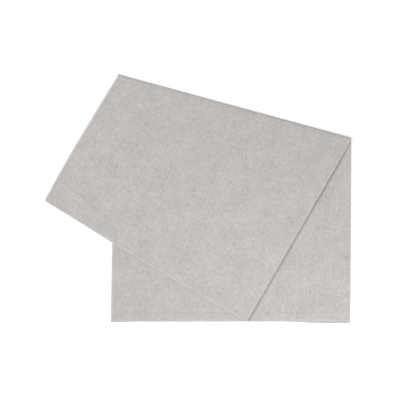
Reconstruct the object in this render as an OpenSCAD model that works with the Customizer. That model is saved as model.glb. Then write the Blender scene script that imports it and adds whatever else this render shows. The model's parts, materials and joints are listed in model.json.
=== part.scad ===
// Table runner, doubled end to end and folded once more along a diagonal.
// It lies on its underside: Z is up and the lower leaf rests on z = 0.
// The flat runner is drawn with x across it and y along it, from its free ends. The doubled cloth has an
// outer ply and an inner ply, face to face on their hems. The upper leaf is the far part, turned over the fold.

/* [Cloth] */
// Width of the runner, from side to side
runner_w = 450; // [300:1:600]
// Length of the doubled runner, from its free ends to the fold in its middle
half_len = 750; // [600:1:1000]
// Thickness of the woven cloth
cloth_t = 0.6; // [0.3:0.05:1.2]

/* [Hems] */
// Finished width of a side hem
side_hem_w = 12; // [6:0.5:30]
// Finished width of an end hem
end_hem_w = 14; // [6:0.5:40]
// Layers of cloth that a hem turns in
hem_layers = 2; // [1:1:3]

/* [Stitching] */
// Distance from a hem's inner edge to its stitching
seam_in = 1.5; // [0.8:0.1:4]
// Width of the sewing thread as it lies
thread_w = 0.4; // [0.2:0.05:0.8]
// Depth that the thread is pulled into the cloth
thread_sink = 0.2; // [0.1:0.05:0.25]

/* [Folding] */
// Angle from the diagonal fold to the crosswise direction
fold_angle = 14.5; // [5:0.5:30]
// Length of the lower leaf along its middle, from the free ends to the diagonal fold
lower_len = 410; // [300:1:500]
// Turn of the lower leaf, clockwise from square
leaf_turn = 0.9; // [0:0.1:5]
// Room between the two leaves
leaf_gap = 0.3; // [0.2:0.05:2]

/* [Hidden] */
$fn = 96;

cloth_colour = [0.78, 0.76, 0.74];
hem_colour = [0.80, 0.78, 0.76];
thread_colour = [0.86, 0.84, 0.81];

left = -1;
right = 1;
half_w = runner_w / 2;

// Heights in one leaf: cloth, its hem, the other ply's hem, the other ply's cloth
hem_t = hem_layers * cloth_t;
leaf_t = 2 * (cloth_t + hem_t);

// The diagonal fold bends round this axis, half way up between the leaves
fold_z = leaf_t + leaf_gap / 2;
fold_r = fold_z;
// Each leaf's flat cloth stops this far from the axis, so that the leaves never meet as they open
stand_off = leaf_gap / 2;
axis_mid = lower_len - fold_r / cos(fold_angle);
fold_len = runner_w / cos(fold_angle);

// The fold in the middle of the runner, at the far end of the upper leaf
mid_r = leaf_t / 2;
far_y = half_len - 2 * fold_r / cos(fold_angle);
flat_end = far_y - mid_r;

// Stitching lines, measured from the middle of the runner and from its free ends
side_seam_x = half_w - side_hem_w + seam_in;
end_seam_y = end_hem_w - seam_in;

// Where the line along the diagonal fold crosses x, moved off the axis by a distance
function axis_y(x, off = 0) = axis_mid - x * tan(fold_angle) + off / cos(fold_angle);

// Where a point of the flat runner lies, in plan, once it is turned over the diagonal fold
function turned_over(p) =
    let(u = [cos(fold_angle), -sin(fold_angle)], v = [p.x, p.y - axis_mid], along = v * u)
    [2 * along * u.x - v.x, 2 * along * u.y - v.y + axis_mid];

// A point in plan once the whole folded runner is turned by leaf_turn
function turned(p) =
    [p.x * cos(leaf_turn) + p.y * sin(leaf_turn), p.y * cos(leaf_turn) - p.x * sin(leaf_turn)];

// The outermost points in plan: free corners, ends of the diagonal fold, corners of the middle fold
plan_points = [
    for (side = [left, right])
        for (p = [
            [side * half_w, 0],
            [side * half_w, axis_y(side * half_w)],
            [side * half_w + fold_r * sin(fold_angle), axis_y(side * half_w) + fold_r * cos(fold_angle)],
            turned_over([side * half_w, far_y])
        ]) turned(p)
];
plan_x = [for (p = plan_points) p.x];
plan_y = [for (p = plan_points) p.y];
plan_mid = [(min(plan_x) + max(plan_x)) / 2, (min(plan_y) + max(plan_y)) / 2];

// ---- Placing ----

// Puts the folded runner square on its origin, the middle of its underside
module settle() {
    translate([-plan_mid.x, -plan_mid.y, 0]) rotate([0, 0, -leaf_turn]) children();
}

// Moves what is drawn along X, round the origin, onto the diagonal fold's axis
module on_fold_axis() {
    translate([0, axis_mid, fold_z]) rotate([0, 0, -fold_angle]) children();
}

// Turns the far part of the flat runner over the diagonal fold
module fold_over() {
    on_fold_axis() rotate([180, 0, 0]) rotate([0, 0, fold_angle]) translate([0, -axis_mid, -fold_z]) children();
}

// Turns a piece of the outer ply into the same piece of the inner ply
module as_inner() {
    translate([0, 0, leaf_t]) mirror([0, 0, 1]) children();
}

// ---- Outlines of the flat runner ----

module lower_outline() {
    polygon([
        [-half_w, 0], [half_w, 0],
        [half_w, axis_y(half_w, -stand_off)], [-half_w, axis_y(-half_w, -stand_off)]
    ]);
}

module upper_outline() {
    polygon([
        [-half_w, axis_y(-half_w, stand_off)], [half_w, axis_y(half_w, stand_off)],
        [half_w, flat_end], [-half_w, flat_end]
    ]);
}

// A side hem's strip, mitred where it meets the end hem at y = 0
module side_strip(side) {
    polygon([
        [side * half_w, 0], [side * (half_w - side_hem_w), end_hem_w],
        [side * (half_w - side_hem_w), far_y], [side * half_w, far_y]
    ]);
}

module end_strip() {
    polygon([
        [-half_w, 0], [half_w, 0],
        [half_w - side_hem_w, end_hem_w], [side_hem_w - half_w, end_hem_w]
    ]);
}

module side_seam_line(side) {
    translate([side * side_seam_x - thread_w / 2, end_seam_y - thread_w / 2])
        square([thread_w, far_y - end_seam_y]);
}

module end_seam_line() {
    translate([thread_w / 2 - side_seam_x, end_seam_y - thread_w / 2])
        square([2 * side_seam_x - thread_w, thread_w]);
}

// ---- Pieces of the outer ply, as it lies flat ----

// The cloth, with furrows in its outer face where the stitching pulls in
module lower_cloth() {
    difference() {
        linear_extrude(cloth_t) lower_outline();
        lower_furrows(0);
    }
}

module upper_cloth() {
    difference() {
        linear_extrude(cloth_t) upper_outline();
        upper_furrows(0);
    }
}

// Furrows run past the cloth, and rise thread_sink from z
module lower_furrows(z) {
    translate([0, 0, z]) linear_extrude(thread_sink) {
        side_seam_line(left);
        side_seam_line(right);
        end_seam_line();
    }
}

module upper_furrows(z) {
    translate([0, 0, z]) linear_extrude(thread_sink) {
        side_seam_line(left);
        side_seam_line(right);
    }
}

// The hems lie on the cloth, with the furrow of their stitching in their inner face
module lower_side_hem(side) {
    difference() {
        translate([0, 0, cloth_t]) linear_extrude(hem_t) intersection() {
            lower_outline();
            side_strip(side);
        }
        lower_furrows(cloth_t + hem_t - thread_sink);
    }
}

module end_hem() {
    difference() {
        translate([0, 0, cloth_t]) linear_extrude(hem_t) end_strip();
        lower_furrows(cloth_t + hem_t - thread_sink);
    }
}

module upper_side_hem(side) {
    difference() {
        translate([0, 0, cloth_t]) linear_extrude(hem_t) intersection() {
            upper_outline();
            side_strip(side);
        }
        upper_furrows(cloth_t + hem_t - thread_sink);
    }
}

// Both threads of one row of stitching: one in the cloth's face, one in the hem's
module both_threads() {
    for (z = [0, cloth_t + hem_t - thread_sink])
        translate([0, 0, z]) linear_extrude(thread_sink) children();
}

module lower_side_seam(side) {
    both_threads() intersection() {
        lower_outline();
        side_seam_line(side);
    }
}

module end_seam() {
    both_threads() end_seam_line();
}

module upper_side_seam(side) {
    both_threads() intersection() {
        upper_outline();
        side_seam_line(side);
    }
}

// ---- Folds ----

// Half of a ring that opens towards -X
module half_ring(outer_r, inner_r) {
    difference() {
        circle(outer_r);
        circle(inner_r);
        translate([-2 * outer_r, -2 * outer_r]) square([2 * outer_r, 4 * outer_r]);
    }
}

// The straight lips that carry a half ring on to the flat cloth
module lips(outer_r, inner_r, length) {
    for (y = [-outer_r, inner_r])
        translate([-length, y]) square([length, outer_r - inner_r]);
}

// Cloth bent round the diagonal fold's axis, from one place along the fold to another
module fold_bend(outer_r, inner_r, from, to) {
    on_fold_axis() translate([from, 0, 0]) rotate([90, 0, 90])
        linear_extrude(to - from) {
            half_ring(outer_r, inner_r);
            lips(outer_r, inner_r, stand_off);
        }
}

module fold_bend_hems(outer_r, inner_r) {
    hem_along = side_hem_w / cos(fold_angle);
    fold_bend(outer_r, inner_r, -fold_len / 2, hem_along - fold_len / 2);
    fold_bend(outer_r, inner_r, fold_len / 2 - hem_along, fold_len / 2);
}

// ---- Lower leaf, outer ply ----

module bottom_ply() { color(cloth_colour) settle() lower_cloth(); }
module bottom_left_hem() { color(hem_colour) settle() lower_side_hem(left); }
module bottom_right_hem() { color(hem_colour) settle() lower_side_hem(right); }
module bottom_end_hem() { color(hem_colour) settle() end_hem(); }
module bottom_left_seam() { color(thread_colour) settle() lower_side_seam(left); }
module bottom_right_seam() { color(thread_colour) settle() lower_side_seam(right); }
module bottom_end_seam() { color(thread_colour) settle() end_seam(); }

// ---- Lower leaf, inner ply ----

module second_ply() { color(cloth_colour) settle() as_inner() lower_cloth(); }
module second_left_hem() { color(hem_colour) settle() as_inner() lower_side_hem(left); }
module second_right_hem() { color(hem_colour) settle() as_inner() lower_side_hem(right); }
module second_end_hem() { color(hem_colour) settle() as_inner() end_hem(); }
module second_left_seam() { color(thread_colour) settle() as_inner() lower_side_seam(left); }
module second_right_seam() { color(thread_colour) settle() as_inner() lower_side_seam(right); }
module second_end_seam() { color(thread_colour) settle() as_inner() end_seam(); }

// ---- Upper leaf, inner ply ----

module third_ply() { color(cloth_colour) settle() fold_over() as_inner() upper_cloth(); }
module third_left_hem() { color(hem_colour) settle() fold_over() as_inner() upper_side_hem(left); }
module third_right_hem() { color(hem_colour) settle() fold_over() as_inner() upper_side_hem(right); }
module third_left_seam() { color(thread_colour) settle() fold_over() as_inner() upper_side_seam(left); }
module third_right_seam() { color(thread_colour) settle() fold_over() as_inner() upper_side_seam(right); }

// ---- Upper leaf, outer ply ----

module top_ply() { color(cloth_colour) settle() fold_over() upper_cloth(); }
module top_left_hem() { color(hem_colour) settle() fold_over() upper_side_hem(left); }
module top_right_hem() { color(hem_colour) settle() fold_over() upper_side_hem(right); }
module top_left_seam() { color(thread_colour) settle() fold_over() upper_side_seam(left); }
module top_right_seam() { color(thread_colour) settle() fold_over() upper_side_seam(right); }

// ---- The fold in the middle of the runner, which joins the upper leaf's two plies ----

// Draws along X, from one place across the runner, round the middle fold's centre
module on_mid_fold(from) {
    translate([from, flat_end, mid_r]) rotate([90, 0, 90]) children();
}

module mid_fold() {
    color(cloth_colour) settle() fold_over()
        on_mid_fold(-half_w) linear_extrude(runner_w) half_ring(mid_r, hem_t);
}

// The side hems go round the same fold, closed up on themselves
module mid_fold_hems() {
    color(hem_colour) settle() fold_over()
        for (from = [-half_w, half_w - side_hem_w])
            on_mid_fold(from) linear_extrude(side_hem_w) intersection() {
                circle(hem_t);
                translate([0, -hem_t]) square([hem_t, 2 * hem_t]);
            }
}

// ---- The diagonal fold, from the outermost cloth to the innermost ----

outer_hem_r = fold_r - cloth_t;
inner_hem_r = outer_hem_r - hem_t;
inner_cloth_r = inner_hem_r - hem_t;

module outer_fold() {
    color(cloth_colour) settle() fold_bend(fold_r, outer_hem_r, -fold_len / 2, fold_len / 2);
}

module outer_fold_hems() {
    color(hem_colour) settle() fold_bend_hems(outer_hem_r, inner_hem_r);
}

module inner_fold_hems() {
    color(hem_colour) settle() fold_bend_hems(inner_hem_r, inner_cloth_r);
}

module inner_fold() {
    color(cloth_colour) settle() fold_bend(inner_cloth_r, inner_cloth_r - cloth_t, -fold_len / 2, fold_len / 2);
}

bottom_ply();
bottom_left_hem();
bottom_right_hem();
bottom_end_hem();
bottom_left_seam();
bottom_right_seam();
bottom_end_seam();
second_ply();
second_left_hem();
second_right_hem();
second_end_hem();
second_left_seam();
second_right_seam();
second_end_seam();
third_ply();
third_left_hem();
third_right_hem();
third_left_seam();
third_right_seam();
top_ply();
top_left_hem();
top_right_hem();
top_left_seam();
top_right_seam();
mid_fold();
mid_fold_hems();
outer_fold();
outer_fold_hems();
inner_fold();
inner_fold_hems();
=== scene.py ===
import json
import math

import bmesh
import bpy
from mathutils import Matrix, Vector, noise


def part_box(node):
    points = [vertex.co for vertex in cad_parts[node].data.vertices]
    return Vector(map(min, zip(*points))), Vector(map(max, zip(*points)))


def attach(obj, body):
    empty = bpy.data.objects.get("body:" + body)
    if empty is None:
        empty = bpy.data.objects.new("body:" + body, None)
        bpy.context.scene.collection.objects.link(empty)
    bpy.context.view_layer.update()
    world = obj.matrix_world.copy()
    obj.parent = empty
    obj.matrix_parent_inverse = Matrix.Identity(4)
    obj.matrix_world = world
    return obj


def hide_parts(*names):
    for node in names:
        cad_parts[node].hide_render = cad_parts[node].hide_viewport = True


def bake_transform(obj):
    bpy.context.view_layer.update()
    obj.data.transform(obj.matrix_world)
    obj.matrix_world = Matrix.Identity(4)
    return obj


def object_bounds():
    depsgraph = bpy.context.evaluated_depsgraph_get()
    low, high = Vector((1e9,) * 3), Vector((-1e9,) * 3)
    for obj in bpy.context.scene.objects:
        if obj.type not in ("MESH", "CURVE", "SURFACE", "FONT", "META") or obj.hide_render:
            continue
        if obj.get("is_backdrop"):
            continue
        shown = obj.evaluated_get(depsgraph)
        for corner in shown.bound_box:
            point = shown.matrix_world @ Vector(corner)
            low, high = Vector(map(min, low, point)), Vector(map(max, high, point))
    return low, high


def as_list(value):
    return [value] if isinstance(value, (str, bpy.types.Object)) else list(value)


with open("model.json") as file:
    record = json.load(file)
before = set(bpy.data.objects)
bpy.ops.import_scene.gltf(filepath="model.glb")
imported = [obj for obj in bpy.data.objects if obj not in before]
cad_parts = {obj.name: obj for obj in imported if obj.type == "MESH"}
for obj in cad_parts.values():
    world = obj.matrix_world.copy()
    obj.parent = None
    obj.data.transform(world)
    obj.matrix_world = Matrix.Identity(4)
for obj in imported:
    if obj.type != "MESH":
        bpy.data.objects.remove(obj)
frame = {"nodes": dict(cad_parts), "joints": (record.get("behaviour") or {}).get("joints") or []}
cad_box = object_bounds()

# ---- The four plies ----
# One length of natural linen, hemmed all round, doubled end to end and folded once more along a diagonal.
# Folded so, it has four plies: bottom and second in the lower leaf, third and top in the upper leaf.
# Each ply's sides, and its free end in the lower leaf, are rolled over towards the hem that lies inside.
mm = 0.001
cloth_t = 0.6 * mm
woven_t = 0.56 * mm      # the cloth as it is drawn, with a little room to the next layer
side_hem = 12 * mm
end_hem = 14 * mm
seam_in = 1.5 * mm       # from a hem's inner edge to its stitching
fold_reach = 6 * mm      # the plies end this far from the diagonal fold's axis
mid_reach = 4 * mm       # and this far from where the middle fold's half round starts

# The diagonal fold: a point on its axis, the way down along it, and the way out over it
hinge = frame["joints"][0]
fold_point = Vector(hinge["pos_m"])
fold_way = -Vector(hinge["axis"])
fold_out = Vector((-fold_way.y, fold_way.x, 0))


def plan_corner(node, toward):
    """The point of a CAD piece that lies furthest towards a direction in plan."""
    points = [v.co for v in frame["nodes"][node].data.vertices]
    far = max(points, key=lambda co: co.dot(Vector(toward)))
    return Vector((far.x, far.y, fold_point.z))


# The flat runner's own directions, x across it and y along it, and its edges from the fold's axis
free_left = plan_corner("bottom_ply", (-1, -1, 0))
free_right = plan_corner("bottom_ply", (1, -1, 0))
half_w = (free_right - free_left).length / 2
across = (free_right - free_left).normalized()
along = Vector((-across.y, across.x, 0))
cos_a = across.dot(fold_way)
sin_a = across.dot(fold_out)
free_end = ((free_left + free_right) / 2 - fold_point).dot(along)
far_way = -sin_a * fold_way - cos_a * fold_out      # along the flat runner, once it is turned over
side_way = cos_a * fold_way - sin_a * fold_out      # across it, once it is turned over
far_end = (plan_corner("mid_fold", far_way) - fold_point).dot(far_way)

# Each ply's outer face, and whether its hem side is above (1) or below (-1)
FACES = {
    "bottom": (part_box("bottom_ply")[0].z, 1),
    "second": (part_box("second_ply")[1].z, -1),
    "third": (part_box("third_ply")[0].z, 1),
    "top": (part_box("top_ply")[1].z, -1),
}
LOWER = ("bottom", "second")
leaf_t = FACES["second"][0]
mid_r = leaf_t / 2
flat_end = far_end - mid_r
sheet_end = flat_end - mid_reach

# How far the laid cloth has crept from square at its corners, in plan
CREEP = {
    "free": (Vector((-1.9, -3.8, 0)) * mm, Vector((1.5, 1.7, 0)) * mm),
    "fold": (Vector((5.2, -2.3, 0)) * mm, Vector((-0.8, -1.5, 0)) * mm),
    "far": (Vector((4.0, 2.3, 0)) * mm, Vector((-3.7, -3.8, 0)) * mm),
}
side_bow = 2.6 * mm              # the upper leaf's left side bows out by this
lower_left_bow = 1.9 * mm        # the lower leaf's sides by these
lower_right_bow = 0.7 * mm
far_bow = 2.6 * mm               # and the middle fold by this
bow_w = 80 * mm                  # a bow fades out over this width
peek = 3.3 * mm                  # the bottom ply shows past the second at the right corner
left_peek = 1.1 * mm             # and at the left corner
peek_len = 120 * mm
peek_from = 0.7                  # the right peek starts this share of the way across
left_peek_to = 0.12              # and the left one ends here


def ease(v):
    """0 below 0 and 1 above 1, with a smooth rise between."""
    v = min(max(v, 0.0), 1.0)
    return v * v * (3 - 2 * v)


def past_fold(x, y):
    """How far a point of the flat cloth lies past the diagonal fold's axis, square to it."""
    return x * sin_a + y * cos_a


def fold_y(x, off=0.0):
    """Where the line along the diagonal fold crosses x, moved off the axis by a distance."""
    return (off - x * sin_a) / cos_a


def arch(share, lean=1.0):
    """The height of a bow along a side, 1 at its top. The top is nearer the start if the lean is below 1."""
    return math.sin(math.pi * min(max(share, 0), 1) ** lean)


def crept(x, y, ply):
    """How far a point of the flat cloth lies from its square place, in plan."""
    p = x / (2 * half_w) + 0.5
    crease = fold_y(x)
    if y < crease:
        q = (y - free_end) / (crease - free_end)
        low, high = CREEP["free"], CREEP["fold"]
    else:
        q = (y - crease) / (far_end - crease)
        low, high = CREEP["fold"], CREEP["far"]
    shift = low[0].lerp(low[1], p).lerp(high[0].lerp(high[1], p), q)
    at_left = ease(1 - (x + half_w) / bow_w)
    at_right = ease(1 - (half_w - x) / bow_w)
    if ply in LOWER:
        shift -= across * at_left * lower_left_bow * arch(q)
        shift += across * at_right * lower_right_bow * arch(q, 0.5)
    else:
        shift -= side_way * at_left * side_bow * arch(q, 1.3)
        shift += far_way * ease(1 - (far_end - y) / bow_w) * far_bow * arch(p)
    if ply == "bottom":
        low_end = ease(1 - (y - free_end) / peek_len)
        shift.y -= low_end * peek * ease((p - peek_from) / 0.2)
        shift.y -= low_end * left_peek * ease((left_peek_to - p) / 0.1)
    return shift


drop_w = 3.2 * mm         # the cloth drops off a hem's inner edge over this width
settle_w = 40 * mm        # and settles fully over this
stiff_w = 10 * mm         # beside the diagonal fold it stays up over this


def slack(inside, at_once=0.42):
    """How far cloth has settled inside a hem's inner edge, as a share: some at once, the rest slowly."""
    return at_once * ease(inside / drop_w) + (1 - at_once) * ease(inside / settle_w)


def lower_slack(x, y):
    """The same over the lower leaf, which has hems at its sides and its free end."""
    inside = half_w - abs(x) - side_hem
    from_fold = ease((-past_fold(x, y) - stiff_w) / settle_w)
    return slack(inside) * slack(y - free_end - end_hem, 0.64) * from_fold


def ripple(x, y, seed, wave=90 * mm):
    """A slow swell of the laid cloth, from -1 to 1."""
    return noise.noise(Vector((x / wave, y / wave, seed)))


lower_sink = 1.5 * mm     # the second ply sinks between the lower leaf's hems by this
upper_sink = 1.2 * mm     # and the top ply between the upper leaf's
ply_swell = 0.25 * mm     # both swell up and down by this
leaf_swell = 0.4 * mm     # and the upper leaf as one by this
follow = 0.62             # the upper leaf follows the sunk lower leaf by this share
follow_w = 45 * mm
overhang_sink = 3.4 * mm  # it sinks by this where it hangs over the lower leaf's side
overhang_w = 70 * mm
edge_spring = 1.0 * mm    # its free edges spring up a little
edge_w = 30 * mm

# A short crease at the lower leaf's right side: a low ridge that falls off more steeply behind
crease_y = 121 * mm       # from the free end, at the side
crease_x = 184 * mm       # where it starts, across the cloth
crease_fade = 16 * mm
crease_rise = 1.1 * mm
crease_front = 8 * mm
crease_back = 2.25 * mm
crease_share = crease_y / (fold_y(half_w, -fold_reach) - free_end)


def crease_line(x):
    """How far along the flat runner the top of the crease lies, at x."""
    return free_end + crease_share * (fold_y(x, -fold_reach) - free_end)


def sunk(x, y, ply):
    """How far a point of a ply has settled below its full height."""
    t = past_fold(x, y)
    from_fold = ease((abs(t) - stiff_w) / settle_w)
    if ply == "bottom":
        return 0.0
    if ply == "second":
        swell = ply_swell * ripple(x, y, 3.1) * lower_slack(x, y)
        past = y - crease_line(x)
        ridge = ease(1 + past / crease_front) if past < 0 else ease(1 - past / crease_back)
        ridge *= crease_rise * ease((x - crease_x) / crease_fade)
        return lower_sink * lower_slack(x, y) + swell - ridge
    s = x * cos_a - y * sin_a
    under_x = s * cos_a - t * sin_a       # the place of the lower leaf's cloth that lies below
    under_y = -s * sin_a - t * cos_a
    inside = min(half_w - abs(under_x) - side_hem, under_y - free_end - end_hem)
    sink = follow * lower_sink * ease(inside / follow_w) * from_fold
    sink += overhang_sink * ease((-half_w - under_x) / overhang_w)
    sink -= leaf_swell * (0.5 + 0.5 * ripple(x, y, 8.4)) * from_fold
    from_edge = min(half_w - x, far_end - y)
    sink -= edge_spring * ease(1 - from_edge / edge_w) * from_fold * ease((inside + 20 * mm) / edge_w)
    if ply == "top":
        share = slack(half_w - abs(x) - side_hem)
        sink += upper_sink * share * (0.66 + 0.34 * from_fold)
        sink -= ply_swell * ripple(x, y, 5.7, 55 * mm) * share * from_fold
    return sink


pull_w = 0.9 * mm         # the stitching pulls the cloth in over this distance
pull = 0.16               # by this share of its height


def pulled(x, y, depth, ply):
    """The depth once the stitching has pulled the hem's layers together."""
    off_row = abs(half_w - abs(x) - (side_hem - seam_in))
    if ply in LOWER:
        off_row = min(off_row, abs(y - free_end - (end_hem - seam_in)))
    middle = 1.5 * cloth_t
    return middle + (depth - middle) * (1 - pull * math.exp(-(off_row / pull_w) ** 2))


def lie(x, y, depth, ply):
    """Where a point of the flat cloth lies. Depth is from the ply's outer face towards its hem side."""
    s = x * cos_a - y * sin_a
    t = abs(past_fold(x, y))
    place = fold_point + fold_way * s - fold_out * t + crept(x, y, ply)
    face, way = FACES[ply]
    place.z = face + way * pulled(x, y, depth, ply) - sunk(x, y, ply)
    return place


# The rolled edge: how far in from the edge, how deep, and how far round, at each step of its half turn
roll_r = cloth_t
ROLL = []
for step in range(7):
    turn = math.radians(30 * step - 90)
    ROLL.append((
        cloth_t / 2 + roll_r * (1 - math.cos(turn)),
        cloth_t / 2 + roll_r * (1 + math.sin(turn)),
        roll_r * math.radians(30 * step),
    ))


def widening(first, count, growth=1.3):
    """Distances from 0 up, each step wider than the last."""
    return [first * (growth ** k - 1) / (growth - 1) for k in range(count)]


def hem_steps(hem):
    """Distances in from an edge that follow its hem, the pull of its stitching and the step inside it."""
    over_hem = [ROLL[0][0], 0.35 * hem, 0.6 * hem]
    at_row = [hem - 3 * mm, hem - 2.2 * mm, hem - seam_in, hem - 0.8 * mm]
    return over_hem + at_row + [hem + d for d in widening(0.5 * mm, 13)]


TO_FOLD = widening(1.2 * mm, 9)      # distances from where a ply ends at a fold


def spread(length, near, far, pitch=4 * mm):
    """Places along a length, as given near its ends and evenly between. Each is a share and an offset."""
    places = [(0.0, d) for d in near]
    even = max(2, round((length - near[-1] - far[-1]) / pitch))
    for k in range(1, even):
        share = k / even
        places.append((share, near[-1] * (1 - share) - far[-1] * share))
    return places + [(1.0, -d) for d in reversed(far)]


COLUMNS = spread(2 * half_w, hem_steps(side_hem), hem_steps(side_hem))


def numbered_grid(columns, rows):
    """A grid whose points hold their column's and their row's number."""
    bm = bmesh.new()
    bmesh.ops.create_grid(bm, x_segments=columns - 1, y_segments=rows - 1, size=0.5)
    for v in bm.verts:
        v.co = (round((v.co.x + 0.5) * (columns - 1)), round((v.co.y + 0.5) * (rows - 1)), 0)
    return bm


def flat_grid(rows):
    """A grid over the cloth's full width, whose points hold their x, their row's number and their depth."""
    bm = numbered_grid(len(COLUMNS), rows)
    for v in bm.verts:
        share, offset = COLUMNS[round(v.co.x)]
        v.co.x = -half_w + share * 2 * half_w + offset
        v.co.z = ROLL[0][1]
    return bm


def roll_edges(bm, end):
    """Rolls the sides, and the free end where there is one, over to the hem side, mitred at the corners."""
    for k in range(1, len(ROLL)):
        at_side = half_w - ROLL[k - 1][0]

        def on_side(v):
            return abs(abs(v.co.x) - at_side) < 1e-6 and abs(v.co.z - ROLL[k - 1][1]) < 1e-7

        def on_end(v):
            return end and v.co.y < 1.5 - k and abs(v.co.z - ROLL[k - 1][1]) < 1e-7

        def on_rim(e):
            same_side = e.verts[0].co.x * e.verts[1].co.x > 0
            along_side = same_side and all(map(on_side, e.verts))
            return e.is_boundary and (along_side or all(map(on_end, e.verts)))

        rim = [e for e in bm.edges if on_rim(e)]
        grown = bmesh.ops.extrude_edge_only(bm, edges=rim)["geom"]
        for v in [g for g in grown if isinstance(g, bmesh.types.BMVert)]:
            side, last = on_side(v), on_end(v)
            if side:
                v.co.x = math.copysign(half_w - ROLL[k][0], v.co.x)
            if last:
                v.co.y = -k
            v.co.z = ROLL[k][1]


def unrolled(x, depth):
    """The place across the flat cut of a point that may be on the rolled edge."""
    if depth < ROLL[0][1] + 1e-7:
        return x
    step = min(ROLL, key=lambda r: abs(r[1] - depth))
    return math.copysign(half_w - ROLL[0][0] + step[2], x)


highlight_w = 2.2 * mm       # a fold's crease gets a painted highlight this wide
hem_highlight = 0.33         # and a hem's turned edge gets this share of a fold's painted highlight


def edge_highlight(from_edge):
    """How strong the painted highlight is, a distance in from a hem's turned edge."""
    return hem_highlight * (1 - ease(from_edge / highlight_w))


def map_cloth(bm, place, flat, highlight_at=None):
    """Lays the flat points in place. Keeps their place on the cut, in metres, as the UV map "cut", and the
    strength of the painted highlight at each, where that is given, as the attribute "painted_highlight"."""
    uv = bm.loops.layers.uv.new("cut")
    cut = {v.index: flat(v.co) for v in bm.verts}
    for face in bm.faces:
        for loop in face.loops:
            loop[uv].uv = cut[loop.vert.index]
    painted_highlight = bm.verts.layers.float.new("painted_highlight")
    for v in bm.verts:
        v[painted_highlight] = highlight_at(v.co) if highlight_at else 0.0
        v.co = place(v.co)


def apply_modifiers(piece):
    depsgraph = bpy.context.evaluated_depsgraph_get()
    piece.data = bpy.data.meshes.new_from_object(piece.evaluated_get(depsgraph))
    piece.modifiers.clear()
    piece.data.name = piece.name


def make_piece(name, bm, finish, node, thickness=woven_t):
    """Makes a piece in its finish, in place of its CAD piece. A thickness turns a mid-surface into cloth."""
    bmesh.ops.recalc_face_normals(bm, faces=bm.faces)
    mesh = bpy.data.meshes.new(name)
    bm.to_mesh(mesh)
    bm.free()
    piece = bpy.data.objects.new(name, mesh)
    bpy.context.scene.collection.objects.link(piece)
    if thickness:
        wall = piece.modifiers.new("cloth", "SOLIDIFY")
        wall.thickness = thickness
        wall.offset = 0
        apply_modifiers(piece)
    piece.data.shade_smooth()
    piece.data.set_sharp_from_angle(angle=math.radians(50))
    piece.data.materials.append(finish)
    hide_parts(node)
    return piece


def leaf(ply):
    return "lower_leaf" if ply in LOWER else "upper_leaf"


def linked(tree, kind, links=(), **values):
    """A node of a tree with its inputs linked or set, each by its name or number."""
    node = tree.nodes.new(kind)
    for key, value in values.items():
        setattr(node, key, value)
    for key, value in dict(links).items():
        if isinstance(value, bpy.types.NodeSocket):
            tree.links.new(value, node.inputs[key])
        else:
            node.inputs[key].default_value = value
    return node


yarn_pitch = 0.62 * mm
painted_highlight_share = 0.95      # a painted highlight makes creases and turned edges paler by up to this share of the range of tints


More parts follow.
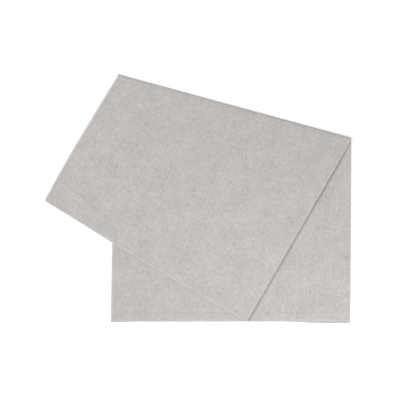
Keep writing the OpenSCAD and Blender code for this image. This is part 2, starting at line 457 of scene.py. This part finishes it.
def weave_group():
    """Plain weave with uneven yarns: a tint from slubs and mottling, and the height of the yarns."""
    group = bpy.data.node_groups.new("linen_weave", "ShaderNodeTree")
    interface = group.interface
    interface.new_socket("Cut", in_out="INPUT", socket_type="NodeSocketVector")
    interface.new_socket("Tint", in_out="OUTPUT", socket_type="NodeSocketFloat")
    interface.new_socket("Height", in_out="OUTPUT", socket_type="NodeSocketFloat")
    come = group.nodes.new("NodeGroupInput")
    leave = group.nodes.new("NodeGroupOutput")
    cut = come.outputs["Cut"]

    def math_node(operation, a, b=0.0, c=0.0):
        return linked(group, "ShaderNodeMath", {0: a, 1: b, 2: c}, operation=operation).outputs[0]

    def streaks(length, width, lengthways, seed):
        """Uneven yarns: noise drawn out along the warp or along the weft."""
        scale = (1 / width, 1 / length, 1) if lengthways else (1 / length, 1 / width, 1)
        shift = (seed, seed * 1.7, seed * 0.6)
        drawn = linked(group, "ShaderNodeMapping", {"Vector": cut, "Scale": scale, "Location": shift})
        noise_inputs = {"Vector": drawn.outputs[0], "Scale": 1.0, "Detail": 2.0, "Roughness": 0.55}
        spots = linked(group, "ShaderNodeTexNoise", noise_inputs)
        return math_node("SUBTRACT", spots.outputs["Fac"], 0.5)

    # The yarns wander a little from straight
    wander = linked(group, "ShaderNodeTexNoise", {"Vector": cut, "Scale": 160.0, "Detail": 2.0})
    centred = {0: wander.outputs["Color"], 1: (0.5, 0.5, 0.5)}
    off = linked(group, "ShaderNodeVectorMath", centred, operation="SUBTRACT")
    by_wander = {0: off.outputs[0], 1: (1.1 * mm, 1.1 * mm, 0), 2: cut}
    moved = linked(group, "ShaderNodeVectorMath", by_wander, operation="MULTIPLY_ADD")
    parts = linked(group, "ShaderNodeSeparateXYZ", {0: moved.outputs[0]})

    # Warp and weft take turns on top, and each yarn is round
    turns = math.pi / yarn_pitch
    warp = math_node("SINE", math_node("MULTIPLY", parts.outputs[0], turns))
    weft = math_node("SINE", math_node("MULTIPLY", parts.outputs[1], turns))
    warp_up = math_node("ABSOLUTE", warp)
    weft_up = math_node("ABSOLUTE", weft)
    over = math_node("GREATER_THAN", math_node("MULTIPLY", warp, weft), 0.0)
    as_warp = math_node("MULTIPLY", warp_up, math_node("SQRT", weft_up))
    as_weft = math_node("MULTIPLY", weft_up, math_node("SQRT", warp_up))
    crossing = linked(group, "ShaderNodeMix", {0: over, 2: as_weft, 3: as_warp}, data_type="FLOAT").outputs[0]

    # Short and long slubs in both yarns, and slow clouds of tone
    short = math_node("ADD", streaks(9 * mm, 2.1 * mm, True, 3.0), streaks(8 * mm, 2.1 * mm, False, 7.0))
    long = math_node("ADD", streaks(32 * mm, 1.5 * mm, True, 11.0), streaks(28 * mm, 1.5 * mm, False, 17.0))
    slubs = math_node("ADD", math_node("MULTIPLY", short, 0.72), math_node("MULTIPLY", long, 0.4))
    mottle = linked(group, "ShaderNodeTexNoise", {"Vector": cut, "Scale": 26.0, "Detail": 4.0})
    cloud = math_node("SUBTRACT", mottle.outputs["Fac"], 0.5)
    tint = math_node("ADD", math_node("MULTIPLY_ADD", cloud, 0.36, 0.5), slubs)
    tint = math_node("ADD", tint, math_node("MULTIPLY", math_node("SUBTRACT", crossing, 0.5), 0.22))
    group.links.new(tint, leave.inputs["Tint"])
    height = math_node("ADD", crossing, math_node("MULTIPLY", slubs, 0.9))
    group.links.new(height, leave.inputs["Height"])
    return group


linen_weave = weave_group()


def linen(name, dark, light, bump):
    """A linen finish: matt yarn of uneven colour, with a soft nap that catches light at a grazing angle."""
    material = bpy.data.materials.new(name)
    material.use_nodes = True
    tree = material.node_tree
    shader = tree.nodes["Principled BSDF"]
    shader.inputs["Roughness"].default_value = 0.88
    shader.inputs["Specular IOR Level"].default_value = 0.25
    shader.inputs["Sheen Weight"].default_value = 0.12
    shader.inputs["Sheen Roughness"].default_value = 0.5
    cut = linked(tree, "ShaderNodeUVMap", uv_map="cut")
    weave = linked(tree, "ShaderNodeGroup", node_tree=linen_weave)
    tree.links.new(cut.outputs[0], weave.inputs["Cut"])
    # Painted highlight: creases and turned edges are painted paler, where light would catch the rounded cloth
    painted_highlight = linked(tree, "ShaderNodeAttribute", attribute_name="painted_highlight")
    tints = {0: painted_highlight.outputs["Fac"], 1: painted_highlight_share, 2: weave.outputs["Tint"]}
    shade = linked(tree, "ShaderNodeMath", tints, operation="MULTIPLY_ADD")
    colours = {0: shade.outputs[0], 6: (*dark, 1), 7: (*light, 1)}
    colour = linked(tree, "ShaderNodeMix", colours, data_type="RGBA")
    tree.links.new(colour.outputs[2], shader.inputs["Base Color"])
    raised = {"Height": weave.outputs["Height"], "Strength": 0.6, "Distance": bump}
    relief = linked(tree, "ShaderNodeBump", raised)
    tree.links.new(relief.outputs[0], shader.inputs["Normal"])
    return material


linen_finish = linen("natural_linen", (0.281, 0.267, 0.258), (0.513, 0.489, 0.472), 0.12 * mm)


def closer_at_crease(rows):
    """The lower leaf's rows, with closer ones in place of those at the crease."""

    def from_crease(row):
        return row[0] * crease_y / crease_share + row[1] - crease_y

    rows = [row for row in rows if not -6 * mm < from_crease(row) < 4.5 * mm]
    steps = (-4 * mm, -2 * mm, 0.0, 0.75 * mm, 1.5 * mm, crease_back)
    return sorted(rows + [(crease_share, step) for step in steps], key=from_crease)


def lower_rows():
    """Rows from the free end to the diagonal fold."""
    return closer_at_crease(spread(-free_end, hem_steps(end_hem), TO_FOLD))


def upper_rows():
    """Rows from the diagonal fold to the middle fold."""
    return spread(far_end, TO_FOLD, TO_FOLD)


def ends(x, ply):
    """Where a ply starts and stops along the flat runner, at x."""
    if ply in LOWER:
        return free_end, fold_y(x, -fold_reach)
    return fold_y(x, fold_reach), sheet_end


def along_ply(x, row, ply):
    """How far along the flat runner a ply's row lies, at x. A row is a share and an offset."""
    start, stop = ends(x, ply)
    share, offset = row
    return start + share * (stop - start) + offset


def make_ply(ply):
    lower = ply in LOWER
    rows = lower_rows() if lower else upper_rows()
    bm = flat_grid(len(rows))
    roll_edges(bm, lower)

    def row_y(co):
        """How far along a point lies. Rows below 0 are round the free end's rolled edge."""
        if co.y < 0:
            return free_end + ROLL[round(-co.y)][0]
        return along_ply(co.x, rows[round(co.y)], ply)

    def flat(co):
        if co.y < 0:
            y = free_end + ROLL[0][0] - ROLL[round(-co.y)][2]
            inside = abs(co.x) < half_w - ROLL[0][0] - 1e-6
            return (co.x, y) if inside else (unrolled(co.x, co.z), y)
        return unrolled(co.x, co.z), row_y(co)

    # The painted highlight runs along the sides and, in the lower leaf, along the free end
    def highlight_at(co):
        from_side = half_w - abs(co.x)
        return edge_highlight(min(from_side, row_y(co) - free_end) if lower else from_side)

    map_cloth(bm, lambda co: lie(co.x, row_y(co), co.z, ply), flat, highlight_at)
    piece = make_piece(ply + "_cloth", bm, linen_finish, ply + "_ply")
    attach(piece, leaf(ply))
    return piece


plies = {ply: make_ply(ply) for ply in FACES}

# ---- The hems ----
# Each hem is the cloth's own edge, turned in twice and pressed: from the rolled edge it runs in to the hem's
# inner edge, doubles back under itself, and is held by the stitching. At the corners the hems are mitred.
hem_turn_r = cloth_t / 2


def hem_section(hem):
    """A hem's section from its rolled edge: how far in, how deep and how far along the cloth each step is."""
    section = []
    start = ROLL[0][0]
    inner = hem - 2 * hem_turn_r
    for k in range(5):
        reach = start + (inner - start) * k / 4
        section.append((reach, ROLL[-1][1], reach - start))
    run = inner - start
    for k in range(1, 6):
        turn = math.radians(36 * k)
        depth = ROLL[-1][1] - hem_turn_r * (1 - math.cos(turn))
        section.append((inner + hem_turn_r * math.sin(turn), depth, run + hem_turn_r * turn))
    run += hem_turn_r * math.pi
    for k in range(1, 5):
        back = (inner - 1.4 * mm) * k / 4
        section.append((inner - back, ROLL[-1][1] - 2 * hem_turn_r, run + back))
    return section


SIDE_SECTION = hem_section(side_hem)
END_SECTION = hem_section(end_hem)
TO_CORNER = [0.0, 4 * mm, 8 * mm]                 # distances from a mitred corner
past_roll = half_w - ROLL[0][0] + ROLL[-1][2]     # the rolled edge's end, across the flat cut


def make_side_hem(ply, side, side_name):
    lower = ply in LOWER
    rows = closer_at_crease(spread(-free_end, TO_CORNER, TO_FOLD)) if lower else upper_rows()
    bm = numbered_grid(len(SIDE_SECTION), len(rows))

    def flat_place(co):
        reach, depth, run = SIDE_SECTION[round(co.x)]
        x = side * (half_w - reach)
        row = rows[round(co.y)]
        y = along_ply(x, row, ply)
        if lower:
            y += reach * end_hem / side_hem * max(0, 1 - row[0] / 0.3)      # the mitre fades out
        return x, y, depth, side * (past_roll + run)

    def place(co):
        x, y, depth, _ = flat_place(co)
        return lie(x, y, depth, ply)

    def flat(co):
        _, y, _, run = flat_place(co)
        return run, y

    map_cloth(bm, place, flat)
    hem_name = f"{ply}_{side_name}_hem"
    piece = make_piece(hem_name + "_turn", bm, hem_finish, hem_name)
    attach(piece, leaf(ply))
    return piece


def make_end_hem(ply):
    steps = spread(2 * half_w, TO_CORNER, TO_CORNER)
    bm = numbered_grid(len(END_SECTION), len(steps))

    def flat_place(co):
        reach, depth, run = END_SECTION[round(co.x)]
        side = half_w - reach * side_hem / end_hem
        share, offset = steps[round(co.y)]
        return -side + share * 2 * side + offset, free_end + reach, depth, run

    def place(co):
        x, y, depth, _ = flat_place(co)
        return lie(x, y, depth, ply)

    def flat(co):
        x, _, _, run = flat_place(co)
        return x, free_end + ROLL[0][0] - ROLL[-1][2] - run

    map_cloth(bm, place, flat)
    hem_name = f"{ply}_end_hem"
    piece = make_piece(hem_name + "_turn", bm, hem_finish, hem_name)
    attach(piece, "lower_leaf")
    return piece


hem_finish = linen("pressed_linen_hem", (0.291, 0.277, 0.268), (0.523, 0.499, 0.482), 0.1 * mm)
SIDES = {"left": -1, "right": 1}
hems = {}
for ply in FACES:
    hems[ply] = [make_side_hem(ply, side, side_name) for side_name, side in SIDES.items()]
    if ply in LOWER:
        hems[ply].append(make_end_hem(ply))

# ---- The diagonal fold ----
# Both plies run on round the diagonal fold with their side hems: the outer ply from the bottom to the top,
# the inner ply tight inside it. Between the hems the fold is pressed flatter, so its edge rolls off slowly.
fold_r = fold_point.z
pressed_in = 4 * mm      # the pressed half turn starts this far inside the axis
FOLD_STEPS = [-2.0, -1.6, -1.3] + [-1 + k / 8 for k in range(17)] + [1.3, 1.6, 2.0]


def round_fold(x, step, depth, outer):
    """A point round the diagonal fold: flat below from step -2 to -1, round to 1, and flat above to 2."""
    low, high = ("bottom", "top") if outer else ("second", "third")
    radius = fold_r - depth if outer else fold_r - leaf_t + depth
    start = pressed_in * slack(half_w - abs(x) - side_hem) if outer else 0.0
    low_z = lie(x, fold_y(x, -fold_reach), depth, low).z
    high_z = lie(x, fold_y(x, fold_reach), depth, high).z
    if abs(step) <= 1:
        turn = step * math.pi / 2
        off = (radius + start) * math.cos(turn) - start
        t = start * math.sin(turn)
        z = (low_z + high_z) / 2 + (high_z - low_z) / 2 * math.sin(turn)
    else:
        t = math.copysign(start + (abs(step) - 1) * (fold_reach - start), step)
        off = -abs(t)
        z = low_z if step < 0 else high_z
    y = fold_y(x, t)
    place = fold_point + fold_way * (x * cos_a - y * sin_a) + fold_out * off
    place += crept(x, y, low if step < 0 else high)
    place.z = z
    return place


def fold_run(step, depth, outer):
    """How far round the fold a step is, from the axis, along the cloth."""
    radius = fold_r - depth if outer else fold_r - leaf_t + depth
    half_turn = radius * math.pi / 2
    if abs(step) <= 1:
        return half_turn * (step + 1)
    if step > 1:
        return 2 * half_turn + (step - 1) * fold_reach
    return (step + 1) * fold_reach


def flat_fold(x, run):
    """The place on the cut of a point round the fold."""
    return x + run * sin_a, fold_y(x) + run * cos_a


def bends(piece):
    """Bakes the piece's place into its mesh."""
    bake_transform(piece)
    return piece


def make_fold_cloth(node, outer):
    bm = flat_grid(len(FOLD_STEPS))
    roll_edges(bm, False)
    map_cloth(
        bm,
        lambda co: round_fold(co.x, FOLD_STEPS[round(co.y)], co.z, outer),
        lambda co: flat_fold(unrolled(co.x, co.z), fold_run(FOLD_STEPS[round(co.y)], ROLL[0][1], outer)),
        lambda co: edge_highlight(half_w - abs(co.x)),
    )
    piece = make_piece(node + "_cloth", bm, linen_finish, node)
    return bends(piece)


def make_fold_hem(fold, outer, side_name, side):
    bm = numbered_grid(len(SIDE_SECTION), len(FOLD_STEPS))

    def place(co):
        reach, depth, _ = SIDE_SECTION[round(co.x)]
        return round_fold(side * (half_w - reach), FOLD_STEPS[round(co.y)], depth, outer)

    def flat(co):
        run = side * (past_roll + SIDE_SECTION[round(co.x)][2])
        return flat_fold(run, fold_run(FOLD_STEPS[round(co.y)], ROLL[-1][1], outer))

    map_cloth(bm, place, flat)
    piece = make_piece(f"{fold}_{side_name}_hem_turn", bm, hem_finish, fold + "_hems")
    return bends(piece)


outer_fold = make_fold_cloth("outer_fold", True)
inner_fold = make_fold_cloth("inner_fold", False)
fold_hems = {"outer": [], "inner": []}
for side_name, side in SIDES.items():
    outer_hem = make_fold_hem("outer_fold", True, side_name, side)
    inner_hem = make_fold_hem("inner_fold", False, side_name, side)
    fold_hems["outer"].append(outer_hem)
    fold_hems["inner"].append(inner_hem)

# ---- The fold in the middle of the runner ----
# The runner was doubled end to end first. Its middle fold is at the upper leaf's far end, where the top ply
# turns under to become the third. It carries the side hems round with it, pressed flatter between them.
mid_pressed_in = 3 * mm


def round_mid(x, step, depth):
    """A point on its way round the middle fold, from the third ply to the top ply."""
    start = mid_pressed_in * slack(half_w - abs(x) - side_hem)
    radius = mid_r - depth
    low = lie(x, sheet_end, depth, "third")
    high = lie(x, sheet_end, depth, "top")
    if abs(step) <= 1:
        turn = step * math.pi / 2
        y = flat_end - start + (radius + start) * math.cos(turn)
        z = (low.z + high.z) / 2 + (high.z - low.z) / 2 * math.sin(turn)
    else:
        y = sheet_end + (2 - abs(step)) * (flat_end - start - sheet_end)
        z = low.z if step < 0 else high.z
    place = lie(x, y, depth, "top")
    place.z = z
    return place


def mid_run(step, depth):
    """How far round the middle fold a step is, along the cloth, from where the third ply ends."""
    half_turn = (mid_r - depth) * math.pi / 2
    if abs(step) <= 1:
        return mid_reach + half_turn * (step + 1)
    if step > 1:
        return mid_reach + 2 * half_turn + (step - 1) * mid_reach
    return (step + 2) * mid_reach


def mid_highlight(step):
    """How strong the painted highlight is at a step round the middle fold's crease, 1 at its edge."""
    inside = (mid_r + mid_pressed_in) * (1 - math.cos(min(abs(step), 1) * math.pi / 2))
    return 1 - ease(inside / highlight_w)


def make_mid_fold():
    bm = flat_grid(len(FOLD_STEPS))
    roll_edges(bm, False)
    last = mid_run(2, ROLL[0][1])
    map_cloth(
        bm,
        lambda co: round_mid(co.x, FOLD_STEPS[round(co.y)], co.z),
        lambda co: (unrolled(co.x, co.z), sheet_end + last - mid_run(FOLD_STEPS[round(co.y)], ROLL[0][1])),
        lambda co: max(edge_highlight(half_w - abs(co.x)), mid_highlight(FOLD_STEPS[round(co.y)])),
    )
    piece = make_piece("mid_fold_cloth", bm, linen_finish, "mid_fold")
    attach(piece, "upper_leaf")
    return piece


def make_mid_hem(side_name, side):
    bm = numbered_grid(len(SIDE_SECTION), len(FOLD_STEPS))
    last = mid_run(2, ROLL[-1][1])

    def place(co):
        reach, depth, _ = SIDE_SECTION[round(co.x)]
        return round_mid(side * (half_w - reach), FOLD_STEPS[round(co.y)], depth)

    def flat(co):
        run = mid_run(FOLD_STEPS[round(co.y)], ROLL[-1][1])
        return side * (past_roll + SIDE_SECTION[round(co.x)][2]), sheet_end + last - run

    map_cloth(bm, place, flat)
    piece = make_piece(f"mid_fold_{side_name}_hem_turn", bm, hem_finish, "mid_fold_hems")
    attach(piece, "upper_leaf")
    return piece


mid_fold = make_mid_fold()
mid_hems = [make_mid_hem(side_name, side) for side_name, side in SIDES.items()]

# ---- The stitching ----
# The hems are held by a straight row of lockstitch in undyed thread, near the hem's inner edge. Each stitch
# is a short arch of thread whose ends dip into the cloth, on the outer face and on the hem's face.
stitch_pitch = 3.0 * mm
stitch_len = 2.5 * mm
stitch_w = 0.42 * mm
stitch_h = 0.35 * mm
stitch_rise = 0.06 * mm
stitch_dip = 0.3 * mm


def thread_finish():
    material = bpy.data.materials.new("undyed_thread")
    material.use_nodes = True
    tree = material.node_tree
    shader = tree.nodes["Principled BSDF"]
    shader.inputs["Roughness"].default_value = 0.6
    shader.inputs["Sheen Weight"].default_value = 0.15
    place = linked(tree, "ShaderNodeTexCoord")
    twist = {"Vector": place.outputs["Object"], "Scale": 900.0, "Distortion": 1.5}
    strands = linked(tree, "ShaderNodeTexWave", twist, bands_direction="DIAGONAL")
    colours = {0: strands.outputs["Fac"], 6: (0.40, 0.38, 0.365, 1), 7: (0.53, 0.51, 0.49, 1)}
    colour = linked(tree, "ShaderNodeMix", colours, data_type="RGBA")
    tree.links.new(colour.outputs[2], shader.inputs["Base Color"])
    raised = {"Height": strands.outputs["Fac"], "Strength": 0.5, "Distance": 0.04 * mm}
    relief = linked(tree, "ShaderNodeBump", raised)
    tree.links.new(relief.outputs[0], shader.inputs["Normal"])
    return material


undyed_thread = thread_finish()


def one_stitch(bm, face_depth, out):
    """A stitch along X that rises from the cloth and dips back into it. Out is the way out of the face."""
    shape = Matrix.Diagonal((stitch_len / 2, stitch_w / 2, stitch_h / 2, 1))
    for v in bmesh.ops.create_uvsphere(bm, u_segments=8, v_segments=4, radius=1, matrix=shape)["verts"]:
        dip = stitch_dip * (2 * v.co.x / stitch_len) ** 2
        v.co.z = face_depth + out * (stitch_rise - dip + v.co.z)


def make_seam(ply, name, start, stop):
    """One row of stitches from start to stop on the flat cloth, in both faces of the hem."""
    start, stop = Vector(start), Vector(stop)
    count = round((stop - start).length / stitch_pitch)
    pitch = (stop - start).length / count
    way = math.atan2(stop.y - start.y, stop.x - start.x)
    bm = bmesh.new()
    one_stitch(bm, 0.0, -1)
    one_stitch(bm, 3 * cloth_t, 1)
    turned = Matrix.Translation((start.x, start.y, 0)) @ Matrix.Rotation(way, 4, "Z")
    bm.transform(turned @ Matrix.Translation((pitch / 2, 0, 0)))
    piece_name, seam_name = f"{ply}_{name}_stitches", f"{ply}_{name}_seam"
    piece = make_piece(piece_name, bm, undyed_thread, seam_name, thickness=0)
    row = piece.modifiers.new("row", "ARRAY")
    row.count = count
    row.use_relative_offset = False
    row.use_constant_offset = True
    row.constant_offset_displace = (pitch * math.cos(way), pitch * math.sin(way), 0)
    apply_modifiers(piece)
    for v in piece.data.vertices:
        v.co = lie(*v.co, ply)
    if ply in ("second", "third"):
        piece.data.flip_normals()     # these two plies lie mirrored
    piece.data.shade_smooth()
    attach(piece, leaf(ply))
    return piece


seam_x = half_w - side_hem + seam_in
seam_y = free_end + end_hem - seam_in
seams = {ply: [] for ply in FACES}
for ply in FACES:
    for side_name, side in SIDES.items():
        x = side * seam_x
        start, stop = ends(x, ply)
        seams[ply].append(make_seam(ply, side_name, (x, max(start, seam_y)), (x, stop)))
    if ply in LOWER:
        seams[ply].append(make_seam(ply, "end", (-seam_x, seam_y), (seam_x, seam_y)))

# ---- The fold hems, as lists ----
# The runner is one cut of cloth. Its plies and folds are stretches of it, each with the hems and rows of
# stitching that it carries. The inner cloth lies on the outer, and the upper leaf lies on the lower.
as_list(fold_hems["outer"])
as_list(fold_hems["inner"])

# ---- Table, light and camera ----
# The runner lies on a plain pale table top under soft studio light. The key softbox stands to the left and a
# little behind, a weaker one fills in from the front right, and the camera looks straight down.
floor_bm = bmesh.new()
bmesh.ops.create_grid(floor_bm, x_segments=1, y_segments=1, size=6)
floor_mesh = bpy.data.meshes.new("table_top")
floor_bm.to_mesh(floor_mesh)
floor_bm.free()
floor = bpy.data.objects.new("table_top", floor_mesh)
bpy.context.scene.collection.objects.link(floor)
floor_mesh.transform(Matrix.Translation((0, 0, -0.05 * mm)))
pale = bpy.data.materials.new("pale_table_top")
pale.use_nodes = True
pale_shader = pale.node_tree.nodes["Principled BSDF"]
pale_shader.inputs["Base Color"].default_value = (0.97, 0.97, 0.97, 1)
pale_shader.inputs["Roughness"].default_value = 0.9
floor_mesh.materials.append(pale)
floor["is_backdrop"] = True

centre = Vector((5.0, -4.1, 0)) * mm      # what the camera and the lamps look at


def soft_light(name, place, size, power):
    """A square softbox that faces the runner."""
    lamp = bpy.data.lights.new(name, "AREA")
    lamp.shape = "SQUARE"
    lamp.size = size
    lamp.energy = power
    box = bpy.data.objects.new(name, lamp)
    box.location = place
    box.rotation_euler = (centre - Vector(place)).to_track_quat("-Z", "Y").to_euler()
    bpy.context.scene.collection.objects.link(box)
    return box


soft_light("key_softbox", (-0.85, 0.45, 1.3), 0.5, 16.1)
soft_light("fill_softbox", (0.42, -0.55, 0.8), 0.5, 7.3)
world = bpy.data.worlds.new("studio")
world.use_nodes = True
air = world.node_tree.nodes["Background"]
air.inputs["Color"].default_value = (1, 1, 1, 1)
air.inputs["Strength"].default_value = 0.43
bpy.context.scene.world = world
bpy.context.scene.view_settings.view_transform = "Standard"

view_height = 2.5
view_width = 0.7597       # what the frame takes in, at the table
lens = bpy.data.cameras.new("overhead")
lens.type = "PERSP"
lens.sensor_width = 36
lens.lens = lens.sensor_width * view_height / view_width
camera = bpy.data.objects.new("overhead", lens)
camera.location = (centre.x, centre.y, view_height)
camera.rotation_euler = (0, 0, math.radians(-0.17))
bpy.context.scene.collection.objects.link(camera)
bpy.context.scene.camera = camera

boxes = {"cad": cad_box, "visual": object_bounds()}
{name: [list(corner) for corner in box] for name, box in boxes.items()}
